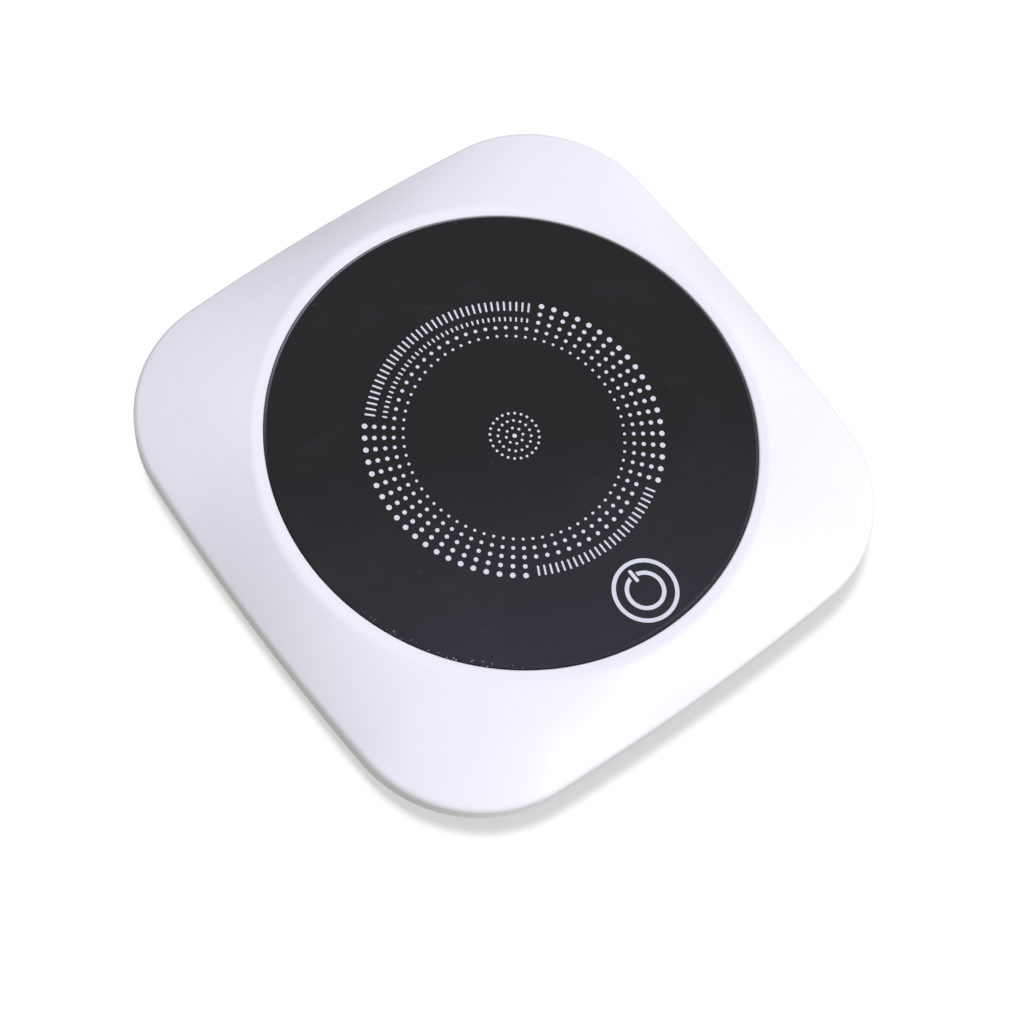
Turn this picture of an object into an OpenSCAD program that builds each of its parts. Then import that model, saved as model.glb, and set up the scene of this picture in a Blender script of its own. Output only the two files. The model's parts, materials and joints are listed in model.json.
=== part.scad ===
// Electric mug warmer: a flat heated plate with a round glass top and a touch key.
// Frame: origin at the bottom centre between the feet, +Z up, front (the touch key's side) towards -Y. Millimetres.

/* [Body] */
// Width and depth of the body across the middle of its sides
body_w = 140; // [138:0.5:142]
// Height from the feet to the top of the glass
body_h = 23; // [23:0.5:25]
// Radius of the bowed sides, seen from above
side_arc_r = 600; // [500:50:900]
// Radius of the corners, seen from above
corner_r = 31.8; // [29:0.2:34]
// Drop from the top of the glass to the edge above the skirt
rim_drop = 9.3; // [8.9:0.1:9.7]
// Height of the upright skirt
skirt_h = 4.4; // [4:0.1:4.6]
// Wall thickness of the covers
wall = 2; // [1.8:0.1:2.2]

/* [Glass plate] */
// Diameter of the glass plate
glass_d = 110; // [109.4:0.1:110.4]
// Thickness of the glass plate
glass_t = 4; // [3.9:0.1:4]
// Width of the polished bevel around the glass
glass_bevel = 0.6; // [0.3:0.1:1]

/* [Heater] */
// Diameter of the heat spreader
heater_d = 72; // [66:1:73]
// Width of the heater's conductor
track_w = 1.8; // [1.2:0.1:2.2]

/* [Touch key] */
// Distance from the centre to the touch key
key_y = 45.6; // [45:0.1:45.8]

/* [Power inlet] */
// Width of the notch that the supply plug enters
notch_w = 14; // [13:0.5:15]
// Height of the inlet's axis above the table
inlet_z = 7.4; // [7.3:0.1:7.5]

/* [Hidden] */

$fn = 64;
eps = 0.01;
half = body_w / 2;
N = 96;                                  // points around the moulded skin

// heights
z_glass = body_h;                        // top of the glass
z_gb = z_glass - glass_t;                // underside of the glass
z_seal = z_gb - 0.4;                     // seat of the glass in the cover
z_ring = z_glass - 0.5;                  // top of the shoulder ring
z_rim = z_glass - rim_drop;              // edge above the skirt
z_skirt = z_rim - skirt_h;               // lower edge of the skirt
z_base = 1.5;                            // underside of the body, on the feet
z_floor = 3.5;                           // inner face of the floor
z_lip = 11.8;                            // top of the bottom cover's lip
glass_r = glass_d / 2;
open_r = 55.3;                           // opening around the glass
ring_r = 57.6;                           // outside of the shoulder ring
seat_r = 50.5;                           // inside of the glass seat

// heater stack, from the glass down
z_sp1 = z_gb - 0.2;
z_sp0 = z_sp1 - 1;
z_m1 = z_sp0;
z_tr1 = z_m1 - 0.3;
z_tr0 = z_tr1 - 0.15;
z_m0 = z_tr0 - 0.3;
z_in0 = z_m0 - 2;
z_br0 = z_in0 - 0.8;
heat_r = heater_d / 2;
core_r = 9;                              // hole for the thermostat

// board
z_pcb = 7.5;
z_top = z_pcb + 1.6;

// screws
case_xy = [[46.8, 27], [-46.8, 27], [46.8, -27], [-46.8, -27]];
board_xy = [[21, -54], [-21, -54], [21, -32], [-21, -32]];
foot_xy = 45;
bracket_r = 50;

// ---------------------------------------------------------------- the outline
// Four side arcs of radius side_arc_r joined by four corner arcs of radius corner_r.
// out_r gives the distance from the centre at angle a, for the outline moved in by d.
function fold(a) = let(b = ((a % 90) + 90) % 90) b > 45 ? b - 90 : b;
function out_r(a, d = 0) =
    let(k = side_arc_r - half, R = side_arc_r - d, rc = corner_r - d,
        c = (-k + sqrt(2 * pow(side_arc_r - corner_r, 2) - k * k)) / 2,
        f = abs(fold(a)), ca = cos(f), sa = sin(f),
        m = R / (side_arc_r - corner_r), tx = -k + (c + k) * m, ty = c * m)
    f > atan2(ty, tx)
        ? c * (ca + sa) + sqrt(pow(c * (ca + sa), 2) - 2 * c * c + rc * rc)
        : -k * ca + sqrt(pow(k * ca, 2) - k * k + R * R);

// one ring of the skin: the outline moved in by d, at height z
function ring_at(d, z) = [for (i = [0:N - 1]) let(a = i * 360 / N, r = out_r(a, d)) [r * cos(a), r * sin(a), z]];
// one ring between a circle of radius r0 and the outline moved in by d, a share s of the way out
function ring_mix(r0, s, d, z) = [for (i = [0:N - 1]) let(a = i * 360 / N, r = r0 + s * (out_r(a, d) - r0)) [r * cos(a), r * sin(a), z]];
function flat2(v) = [for (a = v) for (b = a) b];
function drop(s) = 0.8 * s + 0.2 * s * s;

// a closed band: the rings follow each other round the wall's section and back to the first
module band(rings) {
    M = len(rings);
    polyhedron(points = flat2(rings), faces = [for (j = [0:M - 1]) for (i = [0:N - 1]) for (t = [0, 1])
        let(a = j * N + i, b = j * N + (i + 1) % N, c = ((j + 1) % M) * N + (i + 1) % N, d = ((j + 1) % M) * N + i)
        t == 0 ? [a, b, c] : [a, c, d]], convexity = 6);
}
// a closed tub: the rings run from the bottom to the top, with a flat face at each end
module tub(rings) {
    M = len(rings);
    polyhedron(points = flat2(rings), faces = concat(
        [for (j = [0:M - 2]) for (i = [0:N - 1]) for (t = [0, 1])
            let(a = j * N + i, b = j * N + (i + 1) % N, c = (j + 1) * N + (i + 1) % N, d = (j + 1) * N + i)
            t == 0 ? [a, c, b] : [a, d, c]],
        [[for (i = [0:N - 1]) i]],
        [[for (i = [0:N - 1]) M * N - 1 - i]]), convexity = 4);
}

// ---------------------------------------------------------------- small helpers
module ring(r1, r0, h) difference() { cylinder(r = r1, h = h); translate([0, 0, -1]) cylinder(r = r0, h = h + 2); }
module slot2(l, w) { square([l - w, w], center = true); for (s = [-1, 1]) translate([s * (l - w) / 2, 0]) circle(d = w, $fn = 24); }
module rbox(x, y, z, r) linear_extrude(z) { square([x - 2 * r, y], center = true); square([x, y - 2 * r], center = true);
    for (i = [-1, 1]) for (j = [-1, 1]) translate([i * (x / 2 - r), j * (y / 2 - r)]) circle(r = r, $fn = 24); }
module bar(a, b) translate(a) cube(b - a);
// pan head screw, the head's underside at z = 0 and the shank running up
module screw(l, r, hr, hh) {
    difference() {
        union() {
            cylinder(r = r, h = l - 0.8, $fn = 32);
            translate([0, 0, l - 0.8]) cylinder(r1 = r, r2 = r * 0.35, h = 0.8, $fn = 32);
            translate([0, 0, -hh]) cylinder(r1 = hr * 0.86, r2 = hr, h = hh * 0.45, $fn = 32);
            translate([0, 0, -hh * 0.55]) cylinder(r = hr, h = hh * 0.55, $fn = 32);
        }
        for (a = [0, 90]) rotate(a) translate([-hr * 0.55, -hr * 0.1, -hh - 1]) cube([hr * 1.1, hr * 0.2, 1 + hh * 0.6]);
    }
}

// a round wire along points: rings of M points, each square to the path
function vunit(v) = v / norm(v);
function tangent(p, i) = vunit(i == 0 ? p[1] - p[0] : i == len(p) - 1 ? p[i] - p[i - 1] : vunit(p[i + 1] - p[i]) + vunit(p[i] - p[i - 1]));
function frame_u(p, i) = let(t = tangent(p, i)) i == 0
    ? vunit(cross(t, abs(t[2]) > 0.9 ? [1, 0, 0] : [0, 0, 1]))
    : let(u = frame_u(p, i - 1)) vunit(u - (u * t) * t);
function wire_ring(p, i, r, M) = let(t = tangent(p, i), u = frame_u(p, i), v = cross(t, u))
    [for (k = [0:M - 1]) p[i] + r * (cos(k * 360 / M) * u + sin(k * 360 / M) * v)];
// smooth curve through the points
function cm(a, b, c, d, t) = 0.5 * (2 * b + (c - a) * t + (2 * a - 5 * b + 4 * c - d) * t * t + (3 * b - a - 3 * c + d) * t * t * t);
function smooth(p, n = 4) = concat([for (i = [0:len(p) - 2]) for (k = [0:n - 1])
    let(a = p[max(0, i - 1)], b = p[i], c = p[i + 1], d = p[min(len(p) - 1, i + 2)]) cm(a, b, c, d, k / n)], [p[len(p) - 1]]);
module wire(path, r, M = 8) {
    L = len(path);
    polyhedron(points = flat2([for (i = [0:L - 1]) wire_ring(path, i, r, M)]), faces = concat(
        [for (j = [0:L - 2]) for (i = [0:M - 1]) for (t = [0, 1])
            let(a = j * M + i, b = j * M + (i + 1) % M, c = (j + 1) * M + (i + 1) % M, d = (j + 1) * M + i)
            t == 0 ? [a, c, b] : [a, d, c]],
        [[for (i = [0:M - 1]) i]],
        [[for (i = [0:M - 1]) L * M - 1 - i]]), convexity = 8);
}

// ---------------------------------------------------------------- casing
white = [0.94, 0.94, 0.97];

// Cover: a turned ring that seats the glass, and the skin that falls from it to the upright skirt
module top_cover() color(white) {
    r0 = ring_r;
    z0 = z_ring - 0.1;
    dz = z0 - z_rim;
    difference() {
        union() {
            rotate_extrude($fn = 128) polygon([[seat_r, z_seal - 1.6], [ring_r, z_seal - 1.6], [ring_r, z_ring - 0.6],
                [ring_r - 0.35, z_ring], [open_r + 0.25, z_ring], [open_r, z_ring - 0.25], [open_r, z_seal], [seat_r, z_seal]]);
            band(concat(
                [ring_mix(57, 0, 0, z0 + 0.02)],
                [for (s = [0.18, 0.36, 0.54, 0.7, 0.85, 0.95]) ring_mix(r0, s, 0.35, z0 - dz * drop(s))],
                [ring_at(0.35, z_rim - 0.1), ring_at(0.05, z_rim - 0.5), ring_at(0, z_rim - 1), ring_at(0.15, z_skirt),
                 ring_at(wall, z_skirt), ring_at(wall, z_rim - 1.5)],
                [for (s = [0.94, 0.75, 0.5, 0.25]) ring_mix(r0, s, wall, z0 - dz * drop(s) - wall * 1.15)],
                [ring_mix(57, 0, 0, z0 - wall * 1.05)]));
            // posts that take the case screws
            for (p = case_xy) translate([p[0], p[1], 6]) cylinder(r = 3.3, h = z_seal - 1.6 - 6 + 0.4);
            // posts that take the bracket screws
            for (a = [45:90:315]) rotate(a) translate([bracket_r, 0, z_br0 + 0.8]) cylinder(r = 3, h = z_seal - 0.3 - z_br0 - 0.8);
        }
        for (p = case_xy) translate([p[0], p[1], 5]) cylinder(r = 1.5, h = 9.5, $fn = 32);
        for (a = [45:90:315]) rotate(a) translate([bracket_r, 0, z_br0]) cylinder(r = 1.15, h = 3.9, $fn = 32);
        // notch over the power inlet
        bar([-notch_w / 2, half - 8, 2], [notch_w / 2, half + 5, 11.4]);
    }
}

// Bottom cover: a tray that draws in below the skirt, with a lip inside it
function under(u) = ring_at(9 - 8.6 * u, 1.9 + (z_skirt - 0.3 - 1.9) * (0.8 * u + 0.2 * u * u));
module bottom_cover() color(white) {
    notch_y = half - 8;
    difference() {
        union() {
            tub(concat([ring_at(9.5, z_base)], [for (u = [0, 0.33, 0.66, 1]) under(u)],
                [ring_at(wall + 0.4, z_skirt - 0.3), ring_at(wall + 0.4, z_lip - 0.4), ring_at(wall + 0.8, z_lip)]));
            // roof of the notch
            bar([-notch_w / 2 - 1.5, notch_y - 1.7, 8], [notch_w / 2 + 1.5, half - 3.7, z_lip + 0.6]);
        }
        // inside, kept clear of the inlet's housing, the screw posts and the board's posts
        difference() {
            tub([ring_at(11.6, z_floor), ring_at(10.6, z_floor + 0.5), ring_at(3.9 + wall * 0.2, z_skirt - 0.6), ring_at(3.9, z_skirt + 0.6), ring_at(3.9, z_lip + 1)]);
            bar([-notch_w / 2 - 1.5, notch_y - 1.7, 0], [notch_w / 2 + 1.5, half + 4, z_lip + 2]);
            for (p = case_xy) translate([p[0], p[1], 0]) cylinder(r = 4.2, h = 6);
            for (p = board_xy) translate([p[0], p[1], 0]) cylinder(r = 2.6, h = z_pcb);
            // ribs that hold the inlet from the sides
            for (s = [-1, 1]) bar([s > 0 ? 4.7 : -6.2, 48.5, 0], [s > 0 ? 6.2 : -4.7, 60, z_floor + 4]);
        }
        // pocket that holds the inlet's housing
        bar([-4.6, 47.9, z_floor], [4.6, notch_y - 1.7, z_lip]);
        // notch and the round window behind it
        bar([-notch_w / 2, notch_y, 0], [notch_w / 2, half + 5, 11.4]);
        translate([0, notch_y + 1, inlet_z]) rotate([90, 0, 0]) cylinder(r = 4.1, h = 4);
        // screws: counterbore, clearance hole
        for (p = case_xy) translate([p[0], p[1], 0]) { cylinder(r = 3.2, h = 4); cylinder(r = 1.7, h = 7, $fn = 32); }
        for (p = board_xy) translate([p[0], p[1], z_floor]) cylinder(r = 0.95, h = z_pcb, $fn = 32);
        // shallow seats of the feet and of the rating plate
        for (i = [-1, 1]) for (j = [-1, 1]) translate([i * foot_xy, j * foot_xy, 0]) cylinder(r = 6.6, h = 2.3);
        bar([-23, -13, 0], [23, 13, z_base + 0.2]);
        // cooling slots
        for (s = [-1, 1]) for (k = [-2:2]) translate([s * 38 + 0, k * 5, 0]) linear_extrude(8) slot2(14, 2);
    }
}

module glass_plate() color([0.06, 0.06, 0.07])
    rotate_extrude($fn = 128) polygon([[0, z_gb], [glass_r - 0.2, z_gb], [glass_r, z_gb + 0.2], [glass_r, z_glass - glass_bevel], [glass_r - glass_bevel, z_glass], [0, z_glass]]);

module glass_seal() color([0.55, 0.55, 0.57]) translate([0, 0, z_seal]) ring(54.8, 51, 0.4, $fn = 128);

// ---------------------------------------------------------------- heater
module thermal_pad() color([0.6, 0.62, 0.66]) translate([0, 0, z_sp1]) cylinder(r = heat_r - 0.5, h = 0.2);
module heat_spreader() color([0.8, 0.8, 0.82]) translate([0, 0, z_sp0]) cylinder(r = heat_r, h = 1);

// sheets of the heater share the hole for the thermostat and the cut-out for the leads
module lead_slot() translate([0, -26.6]) rotate(90) slot2(10.6, 4);
module sheet(r, h) linear_extrude(h) difference() { circle(r = r); circle(r = core_r); lead_slot(); }
module mica_upper() color([0.72, 0.66, 0.5]) translate([0, 0, z_tr1]) linear_extrude(0.3) difference() { circle(r = heat_r - 1); circle(r = core_r); }
module mica_lower() color([0.68, 0.62, 0.46]) translate([0, 0, z_m0]) sheet(heat_r - 1, 0.3);
module insulation_pad() color([0.93, 0.92, 0.88]) translate([0, 0, z_in0]) difference() {
    sheet(heat_r - 0.5, 2);
    translate([-22, 12, -1]) cylinder(r = 3, h = 4);
}

// conductor: rings opened at the front, each linked to the next at one side of the opening
track_n = 7;
track_r0 = 11.5;
track_p = 3.4;
module heater_track() color([0.62, 0.6, 0.56]) translate([0, 0, z_tr0]) linear_extrude(0.15) {
    for (i = [0:track_n - 1]) let(r = track_r0 + i * track_p)
        difference() {
            circle(r = r + track_w / 2);
            circle(r = r - track_w / 2);
            translate([-2.2, -60]) square([4.4, 60]);
        }
    for (i = [0:track_n - 2]) let(r = track_r0 + i * track_p, s = i % 2 == 0 ? 1 : -1)
        translate([s > 0 ? 2 : -3.8, -r - track_p + 0.2]) square([1.8, track_p]);
    // both ends run down the opening to the cut-out for the leads
    translate([-2.4, -12.4]) square([3.3, 1.8]);
    translate([-0.9, -25.6]) square([1.8, 14]);
    translate([-0.9, -32.8]) square([3.3, 1.8]);
    translate([-0.9, -32.8]) square([1.8, 4.8]);
}

module heater_bracket() color([0.7, 0.71, 0.73]) translate([0, 0, z_br0]) difference() {
    linear_extrude(0.8) difference() {
        union() {
            circle(r = heat_r - 0.5);
            for (a = [45, 135]) rotate(a) slot2(2 * bracket_r + 7, 7);
        }
        circle(r = 8.9);
        lead_slot();
        for (a = [-30:40:210]) rotate(a) translate([29, 0]) circle(r = 2, $fn = 24);
    }
    for (a = [45:90:315]) rotate(a) translate([bracket_r, 0, -1]) cylinder(r = 1.4, h = 3, $fn = 32);
    for (s = [-1, 1]) translate([0, s * 12.5, -1]) cylinder(r = 1.3, h = 3, $fn = 32);
    translate([-22, 12, -1]) cylinder(r = 1.0, h = 3, $fn = 32);
}
module bracket_screws() color([0.75, 0.75, 0.76]) for (a = [45:90:315]) rotate(a) translate([bracket_r, 0, z_br0]) screw(3.7, 1.1, 2.3, 1.4);

// ---------------------------------------------------------------- snap-action thermostat
// zt is the face against the heat spreader; the contacts are closed when cold
zt = z_sp0;
arm_z = zt - 7.6;                        // underside of the contact arm
pin_x = 0;
arm_px = -4.6;                           // the arm bends here
travel = 0.45;                           // what the disc moves when it snaps
module thermostat_cap() color([0.82, 0.82, 0.84]) rotate_extrude() polygon([[0, zt - 0.4], [7.5, zt - 0.4], [7.5, zt - 4.9], [8.6, zt - 4.9],
    [8.6, zt - 4.4], [7.95, zt - 4.4], [7.95, zt - 0.5], [7.45, zt], [0, zt]]);
module thermostat_body() color([0.25, 0.22, 0.2]) difference() {
    rotate_extrude() polygon([[0, zt - 10.8], [7, zt - 10.8], [7.4, zt - 10.4], [7.4, zt - 2.5], [5.9, zt - 2.5], [5.9, zt - 9.6], [0, zt - 9.6]]);
    // windows for the two terminals
    bar([-9, -1.6, arm_z - 0.45], [-5, 1.6, arm_z + 0.05]);
    bar([5, -1.6, arm_z + 1.2], [9, 1.6, arm_z + 1.7]);
}
module disc_guide() color([0.9, 0.88, 0.84]) rotate_extrude() polygon([[1.08, zt - 2.5], [7.4, zt - 2.5], [7.4, zt - 1.9], [6.9, zt - 1.9], [5.6, zt - 1.9], [5.6, zt - 2.0], [1.08, zt - 2.0]]);
// the domed disc stands 0.05 mm clear of its seat after it has snapped
disc_z = zt - 1.9 + 0.05 + travel;       // underside of the disc's edge, cold
module bimetal_disc() color([0.7, 0.62, 0.45]) {
    rs = (6.4 * 6.4 + 0.36) / 1.2;       // radius of a 0.6 mm dome over a 6.4 mm edge
    translate([0, 0, disc_z]) rotate_extrude() difference() {
        intersection() { translate([0, 0.6 + 0.25 - rs]) circle(r = rs, $fn = 256); translate([0, 0]) square([6.4, 3]); }
        translate([0, 0.6 - rs]) circle(r = rs, $fn = 256);
    }
}
module push_pin() color([0.95, 0.93, 0.88]) rotate_extrude() polygon([[0, arm_z + 0.3], [0.5, arm_z + 0.4], [1, arm_z + 0.9], [1, disc_z + 0.2], [0.6, disc_z + 0.5], [0, disc_z + 0.5]]);
module contact_arm() color([0.8, 0.6, 0.3]) difference() {
    translate([arm_px, -1.5, arm_z]) cube([9.3, 3, 0.2]);
    translate([arm_px + 8.2, 0, arm_z - 1]) cylinder(r = 0.5, h = 3, $fn = 24);
}
module moving_contact() color([0.85, 0.85, 0.87]) translate([arm_px + 8.2, 0, 0]) {
    translate([0, 0, arm_z + 0.2]) cylinder(r = 1.1, h = 0.5, $fn = 32);
    translate([0, 0, arm_z]) cylinder(r = 0.48, h = 0.3, $fn = 24);
}
module fixed_terminal() color([0.8, 0.65, 0.35]) {
    translate([arm_px + 8.2, 0, arm_z + 0.75]) cylinder(r = 1.1, h = 0.55, $fn = 32);
    difference() {
        translate([2.3, -1.5, arm_z + 1.25]) cube([10.9, 3, 0.4]);
        translate([11.6, 0, arm_z]) cylinder(r = 0.7, h = 3, $fn = 24);
    }
}
module common_terminal() color([0.8, 0.65, 0.35]) {
    difference() {
        translate([-13.2, -1.5, arm_z - 0.4]) cube([8.4, 3, 0.4]);
        translate([-11.6, 0, arm_z - 2]) cylinder(r = 0.7, h = 3, $fn = 24);
    }
    // block that grips the root of the arm
    translate([-5.6, -1.5, arm_z - 0.05]) cube([0.8, 3, 0.45]);
}
module thermostat_flange() color([0.72, 0.73, 0.75]) translate([0, 0, zt - 5.75]) linear_extrude(0.8) difference() {
    union() { circle(r = 10); rotate(90) slot2(32, 7); }
    circle(r = 7.6);
    for (s = [-1, 1]) translate([0, s * 12.5]) circle(r = 1.6, $fn = 32);
}
module flange_screws() color([0.75, 0.75, 0.76]) for (s = [-1, 1]) translate([0, s * 12.5, zt - 5.75]) screw(z_br0 + 0.75 - zt + 5.75, 1.25, 2.4, 1.5);

// ---------------------------------------------------------------- sensing and protection
module thermistor() {
    color([0.78, 0.78, 0.8]) translate([-22, 12, z_br0 - 0.5]) linear_extrude(0.5) difference() {
        union() { circle(r = 2.6, $fn = 32); translate([0, -2]) square([8, 4]); }
        circle(r = 1.2, $fn = 32);
    }
    color([0.15, 0.15, 0.17]) translate([-15.5, 12, z_br0 - 2.3]) rbox(4.4, 3.6, 1.8, 1);
}
module thermistor_screw() color([0.75, 0.75, 0.76]) translate([-22, 12, z_br0 - 0.5]) screw(2.4, 0.95, 1.9, 1.1);
module thermal_fuse() {
    color([0.85, 0.82, 0.7]) translate([20, 0.5, z_br0 - 2.05]) rotate([-90, 0, 0]) cylinder(r = 1.95, h = 11);
    color([0.8, 0.8, 0.8]) translate([20, -3.5, z_br0 - 2.05]) rotate([-90, 0, 0]) cylinder(r = 0.45, h = 4, $fn = 16);
    color([0.8, 0.8, 0.8]) translate([20, 11.5, z_br0 - 2.05]) rotate([-90, 0, 0]) cylinder(r = 0.45, h = 4, $fn = 16);
}
module fuse_clip() color([0.7, 0.7, 0.72]) translate([20, 4, z_br0]) rotate([-90, 0, 0]) linear_extrude(4) {
    difference() {
        union() { translate([0, 2.05]) circle(r = 2.45); translate([-2.45, 0]) square([4.9, 2.05]); }
        translate([0, 2.05]) circle(r = 2.0);
        translate([-2.0, -1]) square([4.0, 3.05]);
    }
    for (s = [-1, 1]) translate([s > 0 ? 2.2 : -6.2, 0]) square([4, 0.4]);
}

// ---------------------------------------------------------------- control board
module control_board() color([0.1, 0.38, 0.22]) translate([0, -43, z_pcb]) difference() {
    rbox(48, 28, 1.6, 2);
    for (p = board_xy) translate([p[0], p[1] + 43, -1]) cylinder(r = 1.2, h = 4, $fn = 32);
}
module board_screws() color([0.75, 0.75, 0.76]) for (p = board_xy) translate([p[0], p[1], z_top]) mirror([0, 0, 1]) screw(5, 0.9, 2, 1.2);

module gull(n, pitch, y0, y1) for (i = [0:n - 1]) for (s = [-1, 1]) translate([(i - (n - 1) / 2) * pitch, 0, 0]) {
    bar([-0.2, s > 0 ? y0 : -y0 - 0.55, 0.7], [0.2, s > 0 ? y0 + 0.55 : -y0, 0.9]);
    bar([-0.2, s > 0 ? y0 + 0.35 : -y0 - 0.55, 0], [0.2, s > 0 ? y0 + 0.55 : -y0 - 0.35, 0.9]);
    bar([-0.2, s > 0 ? y0 + 0.35 : -y1, 0], [0.2, s > 0 ? y1 : -y0 - 0.35, 0.2]);
}
module controller_chip() translate([-12, -41, z_top]) {
    color([0.12, 0.12, 0.13]) difference() { translate([-4.95, -1.95, 0.15]) cube([9.9, 3.9, 1.45]); translate([-4, -1.1, 1.45]) cylinder(r = 0.4, h = 1, $fn = 24); }
    color([0.8, 0.8, 0.82]) gull(8, 1.27, 1.95, 3.1);
}
module power_transistor() translate([13, -38.2, z_top]) {
    color([0.12, 0.12, 0.13]) translate([-3.3, -3.1, 0.3]) cube([6.6, 6.2, 2]);
    color([0.8, 0.8, 0.82]) translate([-2.7, 3.1, 0]) cube([5.4, 1.2, 0.5]);
    color([0.8, 0.8, 0.82]) for (s = [-1, 1]) { bar([s * 2.3 - 0.4, -4.4, 0.5], [s * 2.3 + 0.4, -3.1, 0.9]); bar([s * 2.3 - 0.4, -5.6, 0], [s * 2.3 + 0.4, -4, 0.5]); }
}
module voltage_regulator() translate([12.6, -52.4, z_top]) {
    color([0.12, 0.12, 0.13]) translate([-3.25, -1.75, 0.1]) cube([6.5, 3.5, 1.6]);
    color([0.8, 0.8, 0.82]) { bar([-1.5, 1.75, 0], [1.5, 3.4, 0.3]); for (k = [-1:1]) bar([k * 2.3 - 0.35, -3.2, 0], [k * 2.3 + 0.35, -1.75, 0.3]); }
}
module filter_capacitor() translate([-15.5, -51, z_top]) {
    color([0.1, 0.1, 0.1]) rbox(6.6, 6.6, 0.9, 0.8);
    color([0.78, 0.78, 0.8]) rotate_extrude() polygon([[0, 0.9], [3.0, 0.9], [3.15, 1.1], [3.15, 6.6], [2.8, 7], [0, 7]]);
}
module choke() translate([19.2, -45.6, z_top]) color([0.28, 0.28, 0.3]) {
    rbox(5.6, 5.6, 1, 1);
    translate([0, 0, 1]) cylinder(r = 2.4, h = 2);
    translate([0, 0, 3]) rbox(5.6, 5.6, 0.6, 1);
}
chip_xy = [[-20.5, -45.5, 0], [-20.5, -42.5, 0], [-20.5, -39.5, 0], [-7.5, -46.8, 90], [-5.2, -36.2, 90], [5.8, -39.6, 0], [5.8, -37.2, 0],
           [8.4, -45, 90], [10.6, -45, 90], [12.8, -45, 90], [6.6, -53.4, 90], [-8.8, -52.2, 90], [-6.6, -54.6, 0], [18.9, -37, 90]];
module chip_parts() for (c = chip_xy) translate([c[0], c[1], z_top]) rotate(c[2]) {
    color([0.7, 0.62, 0.5]) bar([-0.65, -0.62, 0.02], [0.65, 0.62, 0.6]);
    color([0.82, 0.82, 0.84]) for (s = [-1, 1]) bar([s > 0 ? 0.65 : -1, -0.625, 0], [s > 0 ? 1 : -0.65, 0.625, 0.62]);
}
// board connector with n ways, opening towards +Y
module header(n) {
    w = n * 2 + 2;
    color([0.95, 0.94, 0.9]) difference() {
        bar([-w / 2, -2.4, 0], [w / 2, 2.4, 4.4]);
        bar([-w / 2 + 0.6, -1.4, 0.7], [w / 2 - 0.6, 3, 3.8]);
    }
    color([0.8, 0.8, 0.82]) for (i = [0:n - 1]) translate([(i - (n - 1) / 2) * 2, 0, 0]) bar([-0.25, -1.4, 2], [0.25, -0.2, 2.5]);
}
// the plug that the leads end in
module header_plug(n) {
    w = n * 2 + 2;
    color([0.93, 0.92, 0.88]) bar([-w / 2 + 0.75, -0.15, 0.85], [w / 2 - 0.75, 4.4, 3.65]);
}
conn_y = -32.2;
module heater_connector() translate([-11.5, conn_y, z_top]) { header(2); header_plug(2); }
module sensor_connector() translate([-2.6, conn_y, z_top]) { header(2); header_plug(2); }
module power_connector() translate([6.3, conn_y, z_top]) { header(2); header_plug(2); }

// ---------------------------------------------------------------- touch key
key_n = 6;                               // turns of the touch spring
module touch_spring() color([0.85, 0.75, 0.5]) translate([0, -key_y, 0]) {
    z0 = z_top + 0.27;
    z1 = z_gb - 0.27;
    wire([for (k = [0:key_n * 16]) let(a = k * 360 / 16, t = k / (key_n * 16),
        e = t < 1 / key_n ? 0.09 * t * key_n : t > 1 - 1 / key_n ? 1 - 0.09 * (1 - t) * key_n : 0.09 + 0.82 * (t * key_n - 1) / (key_n - 2))
        [2.9 * cos(a), 2.9 * sin(a), z0 + (z1 - z0) * e]], 0.25, 8);
}
module light_guide() color([0.9, 0.92, 0.95]) translate([0, -key_y, 0]) difference() {
    union() {
        translate([0, 0, z_top + 1]) ring(4.7, 3.6, z_gb - 0.1 - z_top - 1);
        for (a = [0, 180]) rotate(a) translate([4.15, 0, z_top]) cylinder(r = 0.5, h = 1.2, $fn = 24);
    }
}
module indicator_lights() for (a = [90, 270]) translate([0, -key_y, z_top]) rotate(a) {
    color([0.95, 0.95, 0.85]) translate([3.4, -0.8, 0.02]) cube([1.4, 1.6, 0.7]);
    color([0.82, 0.82, 0.84]) for (s = [-1, 1]) translate([3.4, s > 0 ? 0.8 : -1.1, 0]) cube([1.4, 0.3, 0.4]);
}

// ---------------------------------------------------------------- power inlet, opening towards +Y
module inlet_shell() color([0.1, 0.1, 0.11]) difference() {
    union() {
        bar([-4.5, 48, z_floor], [4.5, 60.2, inlet_z + 3.8]);
        translate([0, 59, inlet_z]) rotate([-90, 0, 0]) cylinder(r = 3.95, h = 3.6);
    }
    translate([0, 52, inlet_z]) rotate([-90, 0, 0]) cylinder(r = 2.95, h = 20);
    translate([0, 47, inlet_z]) rotate([-90, 0, 0]) cylinder(r = 1.32, h = 8, $fn = 32);
    bar([-1.3, 47, z_floor - 1], [1.3, 57.5, z_floor + 0.8]);
    bar([-1, 53.6, z_floor], [1, 56, z_floor + 1.6]);
}
module inlet_pin() color([0.85, 0.85, 0.86]) rotate([-90, 0, 0]) translate([0, -inlet_z, 0]) rotate_extrude() polygon([[0, 46.2], [1.3, 46.2], [1.3, 52], [1.05, 52], [1.05, 60.4], [0.6, 61], [0, 61]]);
module inlet_spring() color([0.85, 0.8, 0.6]) {
    bar([-1.1, 44.4, z_floor + 0.3], [1.1, 57.2, z_floor + 0.6]);
    bar([-0.8, 54, z_floor + 0.55], [0.8, 55.6, z_floor + 1.15]);
}

// ---------------------------------------------------------------- wiring
z_w = z_top + 2.25;                      // leads enter the connectors at this height
cy = conn_y + 4.4;                       // back of the plugs
zl = z_br0 - 2.2;
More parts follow.
